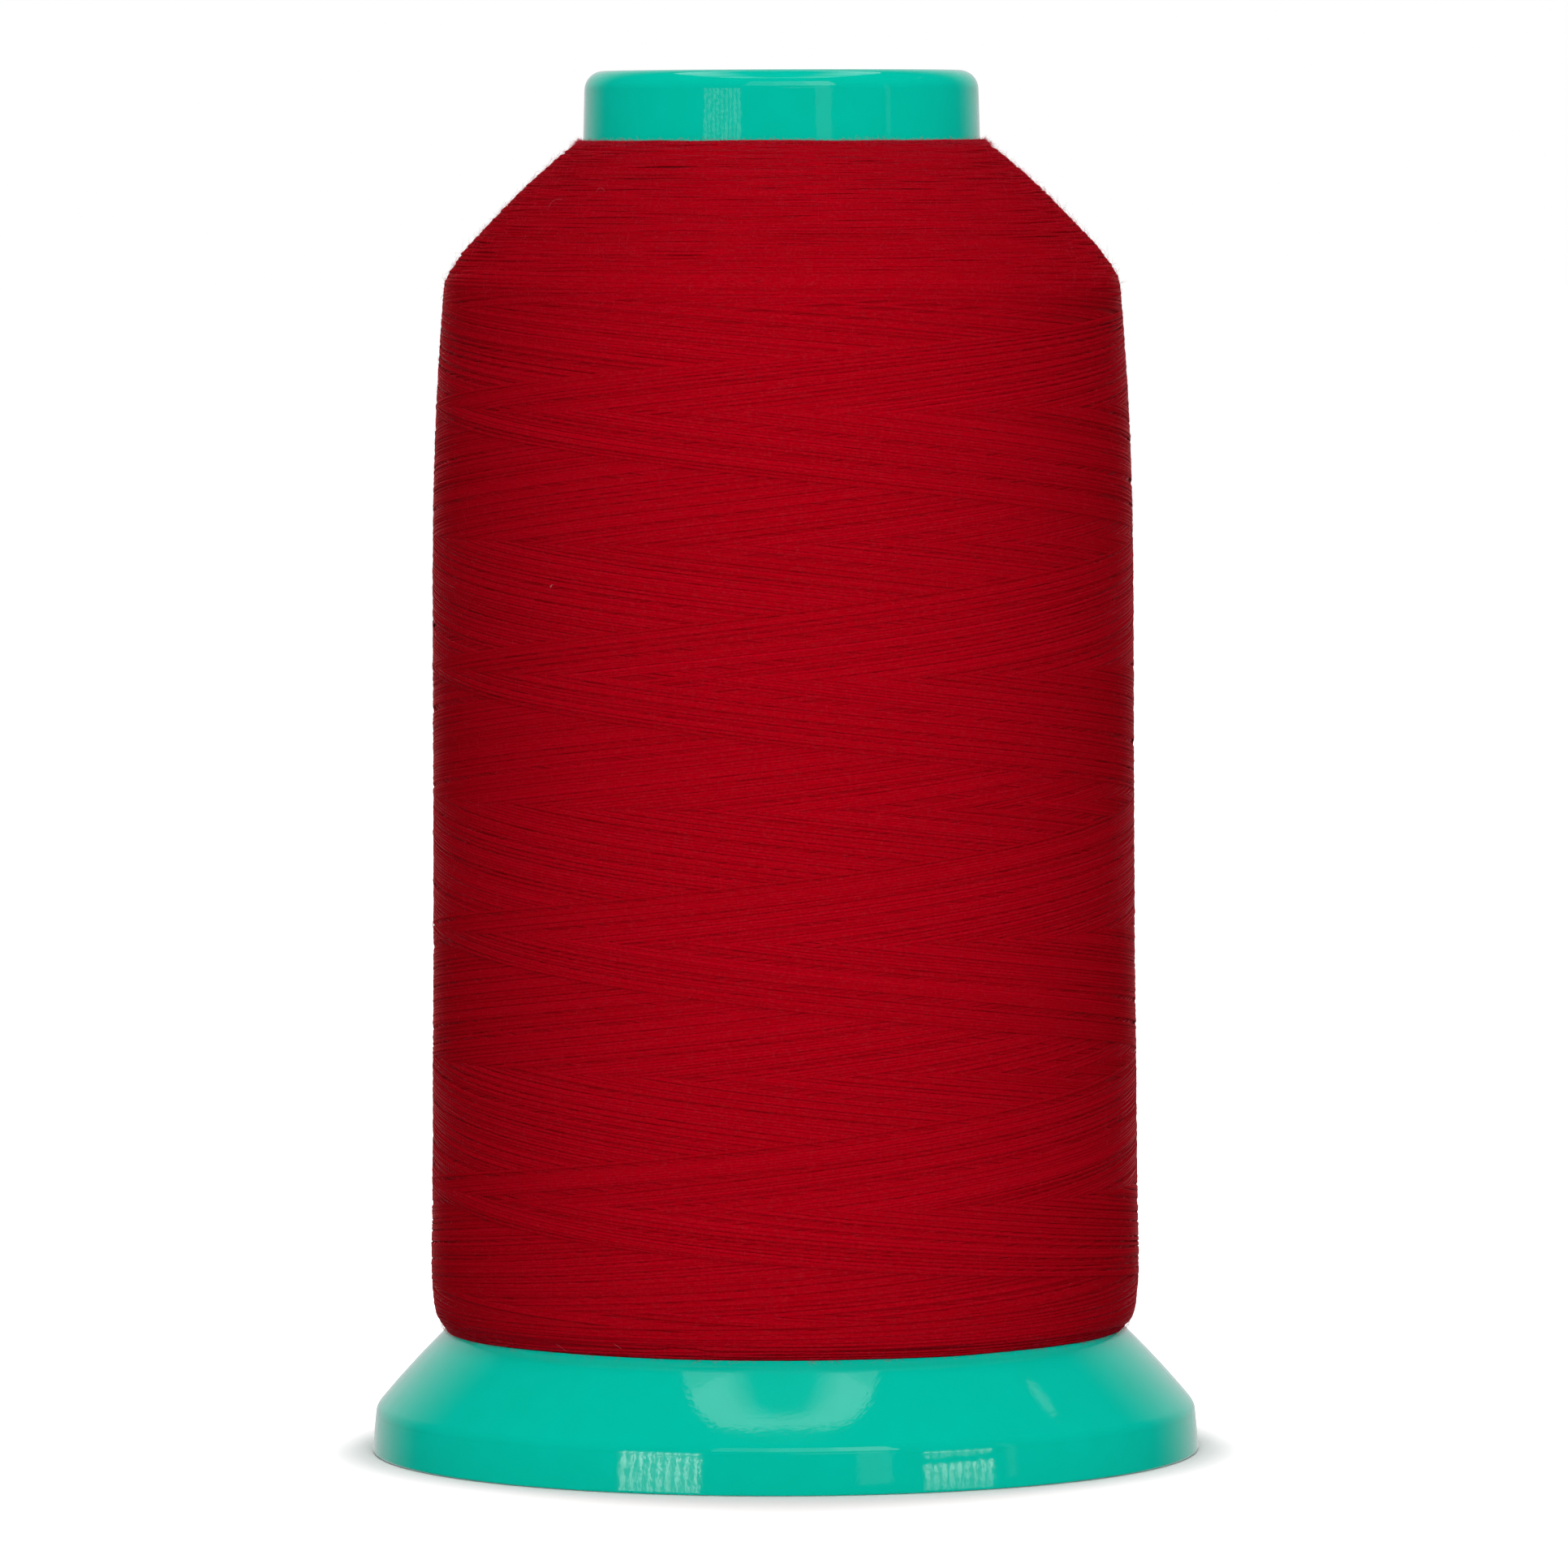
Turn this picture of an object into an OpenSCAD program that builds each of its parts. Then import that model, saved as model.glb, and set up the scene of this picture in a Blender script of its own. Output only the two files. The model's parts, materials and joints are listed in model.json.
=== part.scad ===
// Spool of sewing thread: a moulded spool, its snap-in base, and the wound thread.
// Millimetres, +Z up. The origin is the centre of the foot, on the surface it stands on.

/* [Spool] */
// Overall height of the spool
spool_h = 115; // [96:1:138]
// Diameter of the rim at the foot
base_d = 69; // [66:0.5:84]
// Height of the upright band round the rim
rim_h = 3.4; // [3:0.1:5]
// Slope of the flange cone above the horizontal, in degrees
flange_slope = 47.5; // [40:0.5:52]
// Outer diameter of the barrel that the thread is wound on
barrel_d = 30; // [26:0.5:34]
// Wall thickness of the moulding
wall = 1.6; // [1.2:0.1:2]
// Radius of the cone's gentle swell between the thread and the rim
crown_radius = 76; // [60:2:300]
// Radius where the cone turns down into the rim's band
rim_round = 1.6; // [0.6:0.1:1.8]
// Taper of the rim's band on radius, so that it leaves the mould
rim_draft = 0.25; // [0.05:0.01:0.3]

/* [Collar] */
// How far the collar stands out from the barrel, over the thread
collar_lip = 1.5; // [1:0.1:3]
// Height of the collar
collar_h = 5.9; // [5:0.1:8]
// Radius of the collar's outer top edge
collar_round = 1.6; // [0.8:0.1:2]
// Taper of the collar on radius
collar_draft = 0.12; // [0.05:0.01:0.2]
// Depth of the dish inside the collar
dish_depth = 3.4; // [2:0.1:4]

/* [Bores] */
// Bore of the bush that rides on the machine's spool pin
pin_bore_d = 14; // [8:0.5:16]
// Length of that bush
bush_len = 9; // [6:0.5:14]
// Wall of the snap base's hub, which goes over a cone holder
hub_wall = 2.1; // [1.6:0.1:3]

/* [Snap base] */
// Thickness of the web of the base
web_t = 1.4; // [1.2:0.1:2]
// Height of the foot ring
foot_h = 2.4; // [2.2:0.1:2.8]
// Width of the foot ring
foot_w = 2.6; // [1.5:0.1:4]
// How far the base drops when it is pulled open
base_travel = 4; // [3:0.5:5]
// Height of the snap fingers above the foot ring
finger_len = 11.6; // [10:0.1:14]
// Number of snap fingers
finger_count = 4; // [3:1:5]
// Angle that each snap finger spans, in degrees
finger_span = 30; // [20:1:34]
// How far each finger's barb stands out
barb_depth = 1.1; // [0.8:0.1:1.2]
// Clearance between the base and the spool that it slides in
slide_gap = 0.3; // [0.2:0.05:0.5]

/* [Thread] */
// Diameter of the wound package at its foot
package_d = 59; // [46:0.5:62]
// How much narrower the package is at its shoulder
package_taper = 2.3; // [0:0.1:4]
// Slope of the shoulder above the horizontal, in degrees
shoulder_slope = 45; // [40:1:52]
// Radius where the side turns into the shoulder
shoulder_round = 4; // [2:0.5:6]
// Turns in the outermost layer, half of them climbing and half coming back down
layer_turns = 23; // [11:1:24]
// Diameter of the outermost strand, drawn thicker than the thread, which is 0.25
strand_d = 0.4; // [0.3:0.05:0.6]
// Clear gap where the strand crosses over itself
cross_gap = 0.45; // [0.42:0.01:0.6]

/* [Hidden] */
$fn = 64;

moulding_green = "#02C09F";
thread_red = "#A30614";

base_r = base_d / 2;
barrel_r = barrel_d / 2;
barrel_in = barrel_r - wall;
collar_r = barrel_r + collar_lip;
collar_z = spool_h - collar_h;

foot_round = 0.25;
lead_in = 0.6;
arc_steps = 8;
// Far enough for solids that join to run into each other, and for cuts to run clear.
sunk = 0.4;

// The package is measured halfway between the lower strands and those that cross over them.
core_r = package_d / 2 - strand_d - cross_gap / 2;
// The foot tucks in a little where the thread meets the flange.
foot_tuck = 0.7;
core_foot_r = core_r - foot_tuck;

// The flange is a cone of constant wall, seen from above and from below.
function cone_z(r) = rim_h + (base_r - r) * tan(flange_slope);
function under_cone_z(r) = cone_z(r) - wall / cos(flange_slope);
function under_cone_r(z) = base_r - (z - rim_h + wall / cos(flange_slope)) / tan(flange_slope);

// Points of an arc about c, from angle a to angle b.
function arc(c, r, a, b, n = arc_steps) =
    [for (i = [0 : n]) let (t = a + (b - a) * i / n) c + r * [cos(t), sin(t)]];

// ---- Spool body ----
web_top = spool_h - dish_depth;
web_under = web_top - wall;
dish_round = 0.8;
pin_r = pin_bore_d / 2;
bush_r = pin_r + wall;
skirt_gap = 1.8;
skirt_z = foot_h + skirt_gap;
rib_count = 2 * finger_count;
rib_t = 1.2;
gusset_count = 4;
gusset_step = 1;
gusset_drop = 2;

// Outside the thread the cone swells as an arc over the chord from the thread's foot to the rim.
crown_least = 3;
crown_in = min(core_foot_r, base_r - crown_least);
chord_from = [crown_in, cone_z(crown_in)];
chord_to = [base_r, rim_h];
crown_c = (chord_from + chord_to) / 2
    - [sin(flange_slope), cos(flange_slope)]
    * sqrt(crown_radius ^ 2 - norm(chord_to - chord_from) ^ 2 / 4);
crown_end = atan2(chord_from.y - crown_c.y, chord_from.x - crown_c.x);

// Centre of the rounding, which touches that arc and the tapered band.
rim_c_r = base_r - rim_draft - rim_round;
rim_c = [rim_c_r,
         crown_c.y + sqrt((crown_radius - rim_round) ^ 2 - (rim_c_r - crown_c.x) ^ 2)];
rim_turn = atan2(rim_c.y - crown_c.y, rim_c.x - crown_c.x);
band_tilt = atan(rim_draft / rim_h);

module body_profile() {
    polygon(concat(
        [[base_r - wall, 0]],
        arc([base_r - foot_round, foot_round], foot_round, -90, 0, 4),
        arc(rim_c, rim_round, band_tilt, rim_turn),
        arc(crown_c, crown_radius, rim_turn, crown_end),
        [[barrel_r, cone_z(barrel_r)],
         [barrel_r, collar_z],
         [collar_r, collar_z]],
        arc([collar_r - collar_draft - collar_round, spool_h - collar_round], collar_round, 0, 90),
        arc([barrel_in + dish_round, spool_h - dish_round], dish_round, 90, 180),
        [[barrel_in, web_top],
         [pin_r + lead_in, web_top],
         [pin_r, web_top - lead_in],
         [pin_r, web_top - bush_len],
         [bush_r, web_top - bush_len],
         [bush_r, web_under],
         [barrel_in, web_under],
         [barrel_in, skirt_z],
         [barrel_r, skirt_z],
         [barrel_r, under_cone_z(barrel_r)],
         [base_r - wall, under_cone_z(base_r - wall)]]
    ));
}

// Stiffening rib between the skirt and the underside of the cone.
module flange_rib() {
    rotate([90, 0, 0])
        linear_extrude(rib_t, center = true)
            polygon([[barrel_r - sunk, skirt_z],
                     [under_cone_r(skirt_z), skirt_z],
                     [under_cone_r(skirt_z), skirt_z + sunk],
                     [barrel_r - sunk, under_cone_z(barrel_r - sunk) + sunk]]);
}

// Gusset that ties the pin bush to the barrel wall.
module bush_gusset() {
    rotate([90, 0, 0])
        linear_extrude(rib_t, center = true)
            polygon([[bush_r - sunk, web_top - bush_len + gusset_step],
                     [barrel_in + sunk, web_top - bush_len - gusset_drop],
                     [barrel_in + sunk, web_under + sunk],
                     [bush_r - sunk, web_under + sunk]]);
}

// A wedge of the given angle, centred on +X.
module sector(span, reach, z_low, z_high) {
    side = reach / cos(span / 2);
    translate([0, 0, z_low])
        linear_extrude(z_high - z_low)
            polygon([[0, 0],
                     side * [cos(span / 2), -sin(span / 2)],
                     side * [cos(span / 2), sin(span / 2)]]);
}

// A window's floor stops the finger's barb at full travel, and its roof clears it at rest.
module finger_window() {
    stop_gap = 0.1;
    side_gap = 1.5;
    floor_z = barb_z - base_travel - stop_gap;
    roof_z = finger_top + slide_gap;
    intersection() {
        translate([0, 0, floor_z])
            difference() {
                cylinder(r = barrel_r + sunk, h = roof_z - floor_z);
                translate([0, 0, -sunk])
                    cylinder(r = barrel_in - sunk, h = roof_z - floor_z + 2 * sunk);
            }
        sector(finger_span + 2 * side_gap, barrel_r + 1, floor_z - 1, roof_z + 1);
    }
}

module spool_body() {
    color(moulding_green)
        difference() {
            union() {
                rotate_extrude() body_profile();
                for (i = [0 : rib_count - 1])
                    rotate([0, 0, (i + 0.5) * 360 / rib_count]) flange_rib();
                for (i = [0 : gusset_count - 1])
                    rotate([0, 0, i * 360 / gusset_count]) bush_gusset();
            }
            for (i = [0 : finger_count - 1])
                rotate([0, 0, i * 360 / finger_count]) finger_window();
        }
}

// ---- Snap base ----
foot_r = base_r - wall - slide_gap;
foot_in = foot_r - foot_w;
foot_chamfer = 0.4;
grip_chamfer = 0.6;
web_z = foot_h - web_t;
base_rib_h = 0.8;
finger_r = barrel_in - slide_gap;
hub_r = finger_r - hub_wall;
hub_z = web_z - 0.4;
hub_top = foot_h + 2.8;
finger_top = foot_h + finger_len;
barb_h = 2;
barb_z = finger_top - barb_h;
barb_land = 0.5;

module base_profile() {
    polygon([[hub_r, hub_z],
             [finger_r, hub_z],
             [finger_r, web_z],
             [foot_in, web_z],
             [foot_in, 0],
             [foot_r - foot_chamfer, 0],
             [foot_r, foot_chamfer],
             [foot_r, foot_h - grip_chamfer],
             [foot_r - grip_chamfer, foot_h],
             [finger_r, foot_h],
             [finger_r, hub_top],
             [hub_r, hub_top]]);
}

// The barb is flat below, where it catches on the window's floor, and slopes above.
module snap_finger() {
    root_z = hub_top - sunk;
    intersection() {
        rotate_extrude()
            polygon([[hub_r, root_z],
                     [finger_r, root_z],
                     [finger_r, barb_z],
                     [finger_r + barb_depth, barb_z],
                     [finger_r + barb_depth, barb_z + barb_land],
                     [finger_r - lead_in, finger_top],
                     [hub_r, finger_top]]);
        sector(finger_span, barrel_r + 1, root_z, finger_top);
    }
}

// Rib across the underside of the web.
module base_rib() {
    translate([finger_r - sunk, -rib_t / 2, web_z - base_rib_h])
        cube([foot_in - finger_r + 2 * sunk, rib_t, base_rib_h + sunk]);
}

module snap_base() {
    color(moulding_green)
        union() {
            rotate_extrude() base_profile();
            for (i = [0 : finger_count - 1])
                rotate([0, 0, i * 360 / finger_count]) snap_finger();
            for (i = [0 : rib_count - 1])
                rotate([0, 0, i * 360 / rib_count]) base_rib();
        }
}

// ---- Thread ----
seat_gap = 0.05;
strand_r = strand_d / 2;
foot_tuck_h = 3.8;
side_steps = 8;
side_power = 4;

shoulder_r = core_r - package_taper / 2;
shoulder_top_r = collar_r - sunk / 2;
core_foot_z = cone_z(core_foot_r) + seat_gap / cos(flange_slope);
side_low_z = core_foot_z + foot_tuck_h;

// The shoulder's cone starts at the lower edge of the collar.
function shoulder_z(r) = collar_z - (r - shoulder_top_r) * tan(shoulder_slope);
shoulder_turn = 90 - shoulder_slope;
turn_c = [shoulder_r - shoulder_round,
          shoulder_z(shoulder_r - shoulder_round * (1 - cos(shoulder_turn)))
              - shoulder_round * sin(shoulder_turn)];
side_high_z = turn_c.y;

// The side is nearly upright low down and leans in under the shoulder.
function side_r(z) =
    let (t = (z - side_low_z) / (side_high_z - side_low_z))
        core_r - (core_r - shoulder_r) * pow(t, side_power);

// The outline of the core, from the flange up to the collar.
core_outline = concat(
    [for (t = [0 : 30 : 90])
        [core_foot_r + foot_tuck * sin(t), core_foot_z + foot_tuck_h * (1 - cos(t))]],
    [for (i = [1 : side_steps - 1])
        let (z = side_low_z + (side_high_z - side_low_z) * i / side_steps) [side_r(z), z]],
    arc(turn_c, shoulder_round, 0, shoulder_turn),
    [[shoulder_top_r, collar_z - seat_gap]]
);

module thread_package() {
    inner_r = barrel_r + seat_gap;
    color(thread_red)
        rotate_extrude()
            polygon(concat(
                core_outline,
                [[inner_r, collar_z - seat_gap],
                 [inner_r, cone_z(inner_r) + seat_gap / cos(flange_slope)]]
            ));
}

// The outermost layer is one strand. It winds up the side and over the shoulder, climbs on top of
// itself where it turns back, and crosses its own turns on the way down.
ring_count = 24;
strand_sides = 6;
ends_in = 3;
apex_share = 0.49;
reverse_turn = 0.25;

outline_last = len(core_outline) - 1;
function length_to(i) =
    i == 0 ? 0 : length_to(i - 1) + norm(core_outline[i] - core_outline[i - 1]);
outline_marks = [for (i = [0 : outline_last]) length_to(i)];
outline_len = outline_marks[outline_last];
radius_table = [for (i = [0 : outline_last]) [outline_marks[i], core_outline[i].x]];
height_table = [for (i = [0 : outline_last]) [outline_marks[i], core_outline[i].y]];

// Point on the outline at distance s along it, and the direction straight out of it there.
function outline_at(s) = [lookup(s, radius_table), lookup(s, height_table)];
function outline_normal(s) =
    let (d = outline_at(min(s + 1, outline_len)) - outline_at(max(s - 1, 0)))
        [d.y, -d.x] / norm(d);

// The strand's chords lie inside its true circle, so its corners stand off by that much more.
corner_reach = 1 / cos(180 / ring_count);
under_lift = seat_gap + strand_r;
over_lift = under_lift + strand_d + cross_gap;
apex_turn = layer_turns * apex_share;
turn_pitch = (outline_len - 2 * ends_in)
             / (max(apex_turn, layer_turns - apex_turn) - reverse_turn / 2);

// Distance along the outline and height above it, at a number of turns u from the top.
function strand_s(u) =
    outline_len - ends_in
    - turn_pitch * (abs(u) > reverse_turn ? abs(u) - reverse_turn / 2
                                          : u * u / (2 * reverse_turn));
function strand_lift(u) =
    let (t = min(max(u / (2 * reverse_turn) + 0.5, 0), 1))
        under_lift + (over_lift - under_lift) * t * t * (3 - 2 * t);

// Place in space over a point of the outline.
function over_outline(s, turn, lift) =
    let (p = outline_at(s) + outline_normal(s) * lift)
        [p.x * corner_reach * cos(360 * turn), p.x * corner_reach * sin(360 * turn), p.y];

// At each end the strand dips straight into the core.
function strand_end(turn) =
    let (u = turn - apex_turn,
         stand = strand_lift(u) < over_lift ? seat_gap + strand_d : over_lift)
        [over_outline(strand_s(u), turn, seat_gap - (corner_reach - 1) * core_r),
         over_outline(strand_s(u), turn, stand)];

strand_rings = layer_turns * ring_count;
low_end = strand_end(0);
high_end = strand_end(layer_turns);
strand_path = concat(
    low_end,
    [for (i = [1 : strand_rings - 1])
        let (turn = i / ring_count, u = turn - apex_turn)
            over_outline(strand_s(u), turn, strand_lift(u))],
    [high_end[1], high_end[0]]
);

// The least clear gap from the strand's points to its own turns, which lie whole turns away.
function to_segment(p, a, b) =
    let (t = min(max((p - a) * (b - a) / ((b - a) * (b - a)), 0), 1))
        norm(p - a - t * (b - a));
strand_gap = min([for (i = [1 : strand_rings + 1],
                       j = [i - 1 - ring_count : -ring_count : 1],
                       k = [max(j, 1) : j + 1])
                     to_segment(strand_path[i], strand_path[k], strand_path[k + 1])])
             - strand_d;
echo(strand_gap = strand_gap);

function unit(v) = v / norm(v);
function path_dir(path, i) =
    unit(unit(path[min(i + 1, len(path) - 1)] - path[min(i, len(path) - 2)])
         + unit(path[max(i, 1)] - path[max(i - 1, 0)]));

// A ring of points square to the path, with its first point towards +Z.
function ring(path, i, r, sides) =
    let (d = path_dir(path, i),
         side = unit(cross(d, [0, 0, 1])),
         up = cross(side, d))
        [for (k = [0 : sides - 1]) let (t = k * 360 / sides)
            path[i] + r * (up * cos(t) + side * sin(t))];

module tube(path, r, sides) {
    last = len(path) - 1;
    points = [for (i = [0 : last]) each ring(path, i, r, sides)];
    skin = [for (i = [0 : last - 1], k = [0 : sides - 1])
        let (a = i * sides + k,
             b = i * sides + (k + 1) % sides)
            each [[a, a + sides, b], [b, a + sides, b + sides]]];
    caps = [for (k = [1 : sides - 2])
        each [[0, k, k + 1],
              [last * sides, last * sides + k + 1, last * sides + k]]];
    polyhedron(points = points, faces = concat(skin, caps), convexity = 10);
}

module thread_outer_layer() {
    color(thread_red) tube(strand_path, strand_r, strand_sides);
}

spool_body();
snap_base();
thread_package();
thread_outer_layer();
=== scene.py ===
"""Spool of cross-wound sewing thread: the looks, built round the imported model.

Sizes in the functions are millimetres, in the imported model's own frame: Z is the spool's axis,
-Y is its front, and it stands on Z = 0. mesh_piece() turns them to metres.
"""

import json
import math

import bpy
import numpy as np
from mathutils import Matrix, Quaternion, Vector

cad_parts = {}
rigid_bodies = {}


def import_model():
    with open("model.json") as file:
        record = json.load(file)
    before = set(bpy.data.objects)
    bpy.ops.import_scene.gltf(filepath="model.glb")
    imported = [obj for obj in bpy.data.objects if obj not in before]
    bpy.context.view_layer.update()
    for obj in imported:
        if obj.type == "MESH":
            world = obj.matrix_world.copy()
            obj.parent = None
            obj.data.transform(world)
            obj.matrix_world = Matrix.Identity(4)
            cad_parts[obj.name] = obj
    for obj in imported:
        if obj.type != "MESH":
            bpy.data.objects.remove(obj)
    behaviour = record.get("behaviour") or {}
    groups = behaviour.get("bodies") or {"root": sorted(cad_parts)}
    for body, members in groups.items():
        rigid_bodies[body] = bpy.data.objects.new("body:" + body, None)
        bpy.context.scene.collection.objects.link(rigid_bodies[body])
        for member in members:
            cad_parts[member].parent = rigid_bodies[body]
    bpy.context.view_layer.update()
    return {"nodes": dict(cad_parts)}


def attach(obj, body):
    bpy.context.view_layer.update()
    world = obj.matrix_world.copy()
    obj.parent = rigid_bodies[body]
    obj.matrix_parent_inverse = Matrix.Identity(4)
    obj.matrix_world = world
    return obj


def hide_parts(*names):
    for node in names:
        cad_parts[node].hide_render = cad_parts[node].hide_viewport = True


for leftover in list(bpy.data.objects):
    bpy.data.objects.remove(leftover)
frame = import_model()

MM = 0.001

# ---------------------------------------------------------------- the wound package's outline
FOOT_Z = 10.22           # where the thread meets the flange
SHOULDER_TOP_Z = 109.1   # where it meets the collar
# Height and radius up the side: a slight swell above the foot, a lean towards the top, then the shoulder.
SIDE = ((8.5, 27.8), (10, 28.1), (10.9, 29.0), (12, 29.26), (14, 29.48), (16, 29.54), (20, 29.46),
        (26, 29.37), (34, 29.33), (42, 29.24), (54, 29.2), (72, 29.16), (79, 29.09), (84.5, 28.92),
        (89.5, 28.66), (93, 28.42), (97.3, 28.1), (98.1, 27.78), (100, 26.5), (102.7, 23.98),
        (105.4, 21.3), (106.7, 19.82), (108.05, 18.3), (109.1, 16.8), (110.5, 14.8))
SOFTENED = 0.5           # how far the corners between those are smoothed
GIRTH = 184              # round the package, to turn a length of fibre into turns

# ---------------------------------------------------------------- the moulding's turned profile
# Its arcs, for the shader's smooth normal: the flange's slope, the rim's rounding and the collar's rounding. Each has
# its centre's radius and height, its own radius, how far off it a point may be, and how many times as far up as
# outward its normal may point. The rim's rounding stops short of the flange's slope, and the others have no stop.
ARCS = ((-24.589, -44.396, 76.0, 0.02, 99.0), (32.65, 3.133, 1.6, 0.03, 0.83), (14.78, 113.4, 1.6, 0.03, 999.0))
# The rim's band: radius and height, with how far off them a point may be.
BAND_RADIUS = (34.4, 0.22)
BAND_HEIGHT = (1.7, 1.5)
BAND_LEAN = (0.055, -0.02)   # how far its normal points up, for a millimetre of height and at the foot

# ---------------------------------------------------------------- the winding
STRAND_W = 0.29          # width and height of the thread, pressed flat where it lies
STRAND_H = 0.07
SIDES = 6                # corners of its section
TWIST = 0.6              # length in which a ply of the thread comes round to the same side
STEP = 96                # points to a turn
CYCLES = 84              # up-and-down strokes before the pattern closes
TURNS = 10 - 1 / CYCLES  # turns to a cycle
CYCLE_POINTS = 10 * STEP
APEX_LOW = 1.35          # heights at which unrounded strokes would meet
APEX_HIGH = 109.1
PITCH = (APEX_HIGH - APEX_LOW) / (TURNS / 2)
START = -0.25            # turns round from the front at which a stroke begins
BUNDLE = (4, 13)         # fewest threads to a bundle, and one more than the most
GAP = 0.226              # from one thread of a bundle to the next
BUILD = 0.06             # how much a full set of strokes builds up
UNDER = 0.07             # how far a thread lies below those that cross over it
CORE_UNDER = 0.075       # how far the core lies below those
PIECES = 6               # lengths the thread is cut into, which keeps each piece's mesh small
HAIR = 0.011             # thickness of a loose fibre
random = np.random.default_rng(20)


def outline():
    """The package's outline as a table of run length, radius, height and outward normal.

    It joins the points of SIDE with straight lines, smoothed by a Gaussian SOFTENED wide."""
    step = 0.05
    z = np.arange(FOOT_Z - 4 * SOFTENED, SHOULDER_TOP_Z + 4 * SOFTENED, step)
    r = np.interp(z, *zip(*SIDE))
    reach = np.arange(-3 * SOFTENED, 3 * SOFTENED + step, step)
    blur = np.exp(-0.5 * (reach / SOFTENED) ** 2)
    r = np.convolve(r, blur / blur.sum(), "same")
    kept = (z > FOOT_Z - step / 2) & (z < SHOULDER_TOP_Z + step / 2)
    r, z = r[kept], z[kept]
    run = FOOT_Z + np.concatenate([[0], np.cumsum(np.hypot(np.diff(r), np.diff(z)))])
    dr, dz = np.gradient(r, run), np.gradient(z, run)
    length = np.hypot(dr, dz)
    return run, r, z, dz / length, -dr / length


OUTLINE = outline()
RUN_TOP = OUTLINE[0][-1]


def run_at(z):
    """The run length at which the outline reaches a height."""
    return np.interp(z, OUTLINE[2], OUTLINE[0])


def on_package(run, turns, lift):
    """Points at a run length up the outline, a number of turns round and a lift off the surface, and the
    normals there."""
    r, z, nr, nz = (np.interp(run, OUTLINE[0], column) for column in OUTLINE[1:])
    angle = 2 * math.pi * turns
    s, c = np.sin(angle), np.cos(angle)
    radius = r + lift * nr
    points = np.stack([radius * s, -radius * c, z + lift * nz], 1)
    normals = np.stack([nr * s, -nr * c, nz], 1)
    return points, normals


def noise(rows, columns, *lobes):
    """Rows of smooth noise that close on themselves: white noise blurred by a Gaussian through its
    Fourier transform, one (size, reach in columns) pair to a lobe."""
    total = np.zeros((rows, columns))
    frequency = np.fft.rfftfreq(columns)
    for size, reach in lobes:
        white = np.fft.rfft(random.standard_normal((rows, columns)))
        blurred = np.fft.irfft(white * np.exp(-2 * (math.pi * reach * frequency) ** 2), columns)
        total += size * blurred / blurred.std()
    return total


def smoothstep(x):
    """From 0 to 1 with level ends: 3 x squared less 2 x cubed, held flat outside."""
    x = np.clip(x, 0, 1)
    return x * x * (3 - 2 * x)


def mesh_piece(name, points, quads, uv=None, shade=None, lay=None):
    """A mesh of four-cornered faces from whole arrays, with an unwrapping and numbers to a point where given."""
    mesh = bpy.data.meshes.new(name)
    mesh.vertices.add(len(points))
    mesh.vertices.foreach_set("co", (points * MM).astype(np.float32).ravel())
    mesh.loops.add(quads.size)
    mesh.loops.foreach_set("vertex_index", quads.astype(np.int32).ravel())
    mesh.polygons.add(len(quads))
    mesh.polygons.foreach_set("loop_start", np.arange(0, quads.size, 4, dtype=np.int32))
    mesh.update(calc_edges=True)
    if uv is not None:
        layer = mesh.uv_layers.new(name="OFBake")
        layer.uv.foreach_set("vector", uv.astype(np.float32).ravel())
    for label, values in (("shade", shade), ("lay", lay)):
        if values is not None:
            mesh.attributes.new(label, "FLOAT", "POINT").data.foreach_set("value", values.astype(np.float32))
    mesh.shade_smooth()
    piece = bpy.data.objects.new(name, mesh)
    bpy.context.scene.collection.objects.link(piece)
    return piece


def ring_faces(rings, around, closed=False):
    """The faces that join rings of points, each to the next, and the last to the first where closed."""
    i = np.arange(rings if closed else rings - 1)[:, None] * around
    following = (i + around) % (rings * around)
    j = np.arange(around)[None]
    k = (j + 1) % around
    return np.stack([i + j, i + k, following + k, following + j], -1).reshape(-1, 4)


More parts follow.
